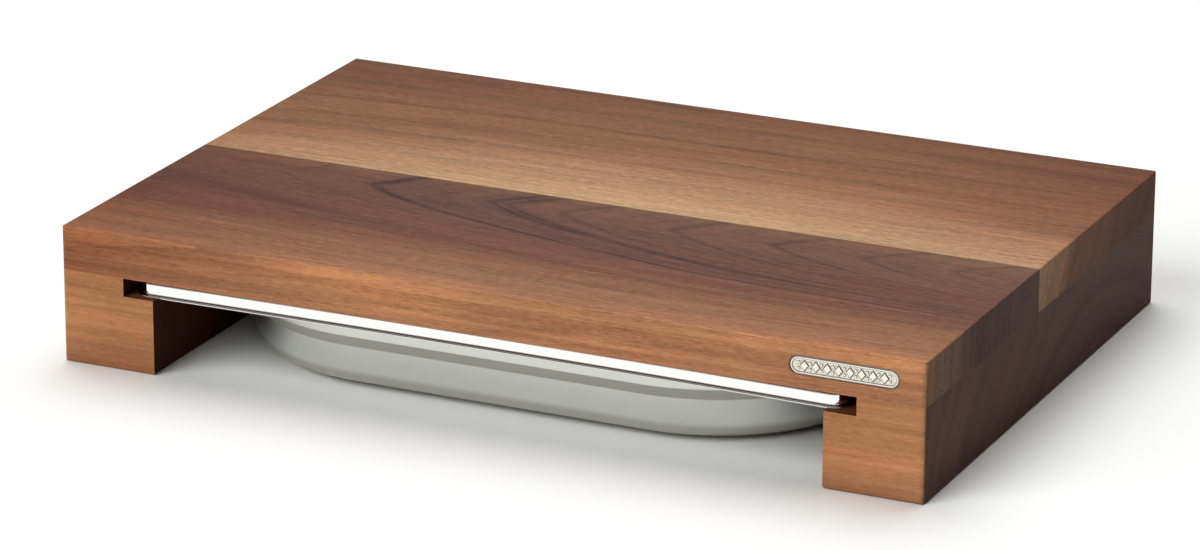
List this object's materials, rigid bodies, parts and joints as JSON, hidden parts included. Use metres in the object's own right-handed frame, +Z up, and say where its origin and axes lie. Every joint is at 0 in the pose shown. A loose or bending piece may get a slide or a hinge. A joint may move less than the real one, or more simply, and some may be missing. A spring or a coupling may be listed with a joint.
{
  "type": "cutting board with a sliding tray",
  "caption": "Thick walnut cutting board on two grooved legs, with a stainless steel tray that slides underneath to catch what is cut.",
  "frame": {"origin": "on the table, under the middle of the board", "axes": "+X along the board to the right, +Y to the back, +Z up to the cutting surface; the tray's front faces -Y"},
  "size_m": [0.39, 0.27, 0.06],
  "materials": {
    "front_plank_walnut": "oiled walnut heartwood, dark cathedral figure, satin",
    "back_plank_walnut": "oiled walnut, straight grain with a paler sapwood band, satin",
    "leg_front_walnut": "oiled walnut, straight grain, satin",
    "leg_back_walnut": "oiled walnut, straight grain, satin",
    "badge_metal": "cast pale metal with darkened recesses",
    "tray_steel": "satin drawn stainless steel with a polished rim"
  },
  "bodies": {
    "board": {"front_plank": "front_plank_walnut", "back_plank": "back_plank_walnut", "left_leg_front": "leg_front_walnut", "left_leg_back": "leg_back_walnut", "right_leg_front": "leg_front_walnut", "right_leg_back": "leg_back_walnut", "badge": "badge_metal"},
    "tray": {"tray": "tray_steel"}
  },
  "joints": [
    {"name": "tray_slide", "type": "slide", "parent": "board", "child": "tray", "axis": [0, -1, 0], "range_m": [-0.27, 0.27]}
  ]
}
